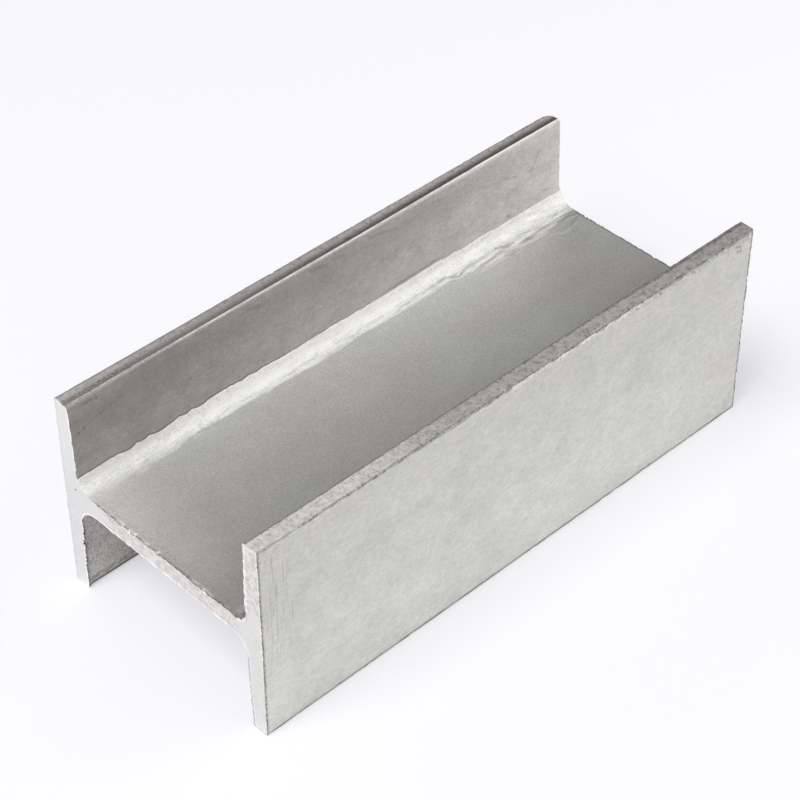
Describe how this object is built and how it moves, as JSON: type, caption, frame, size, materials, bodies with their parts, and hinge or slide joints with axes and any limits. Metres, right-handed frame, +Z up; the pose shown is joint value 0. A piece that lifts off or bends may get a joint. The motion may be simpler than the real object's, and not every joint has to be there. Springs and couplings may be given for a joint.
{
  "type": "steel i-beam",
  "caption": "Short saw-cut length of wide-flange rolled steel beam with a central web, tapered flanges and root fillets, lying on its flange toes.",
  "frame": {"origin": "on the floor under the middle of the beam, as it lies on the toes of its flanges", "axes": "+X along the beam's length, +Y across its depth from flange to flange, +Z up, parallel to the flanges"},
  "size_m": [0.233, 0.1, 0.084],
  "materials": {
    "mill_finish_steel": "matte"
  },
  "bodies": {
    "root": {"i_beam": "mill_finish_steel"}
  },
  "joints": []
}
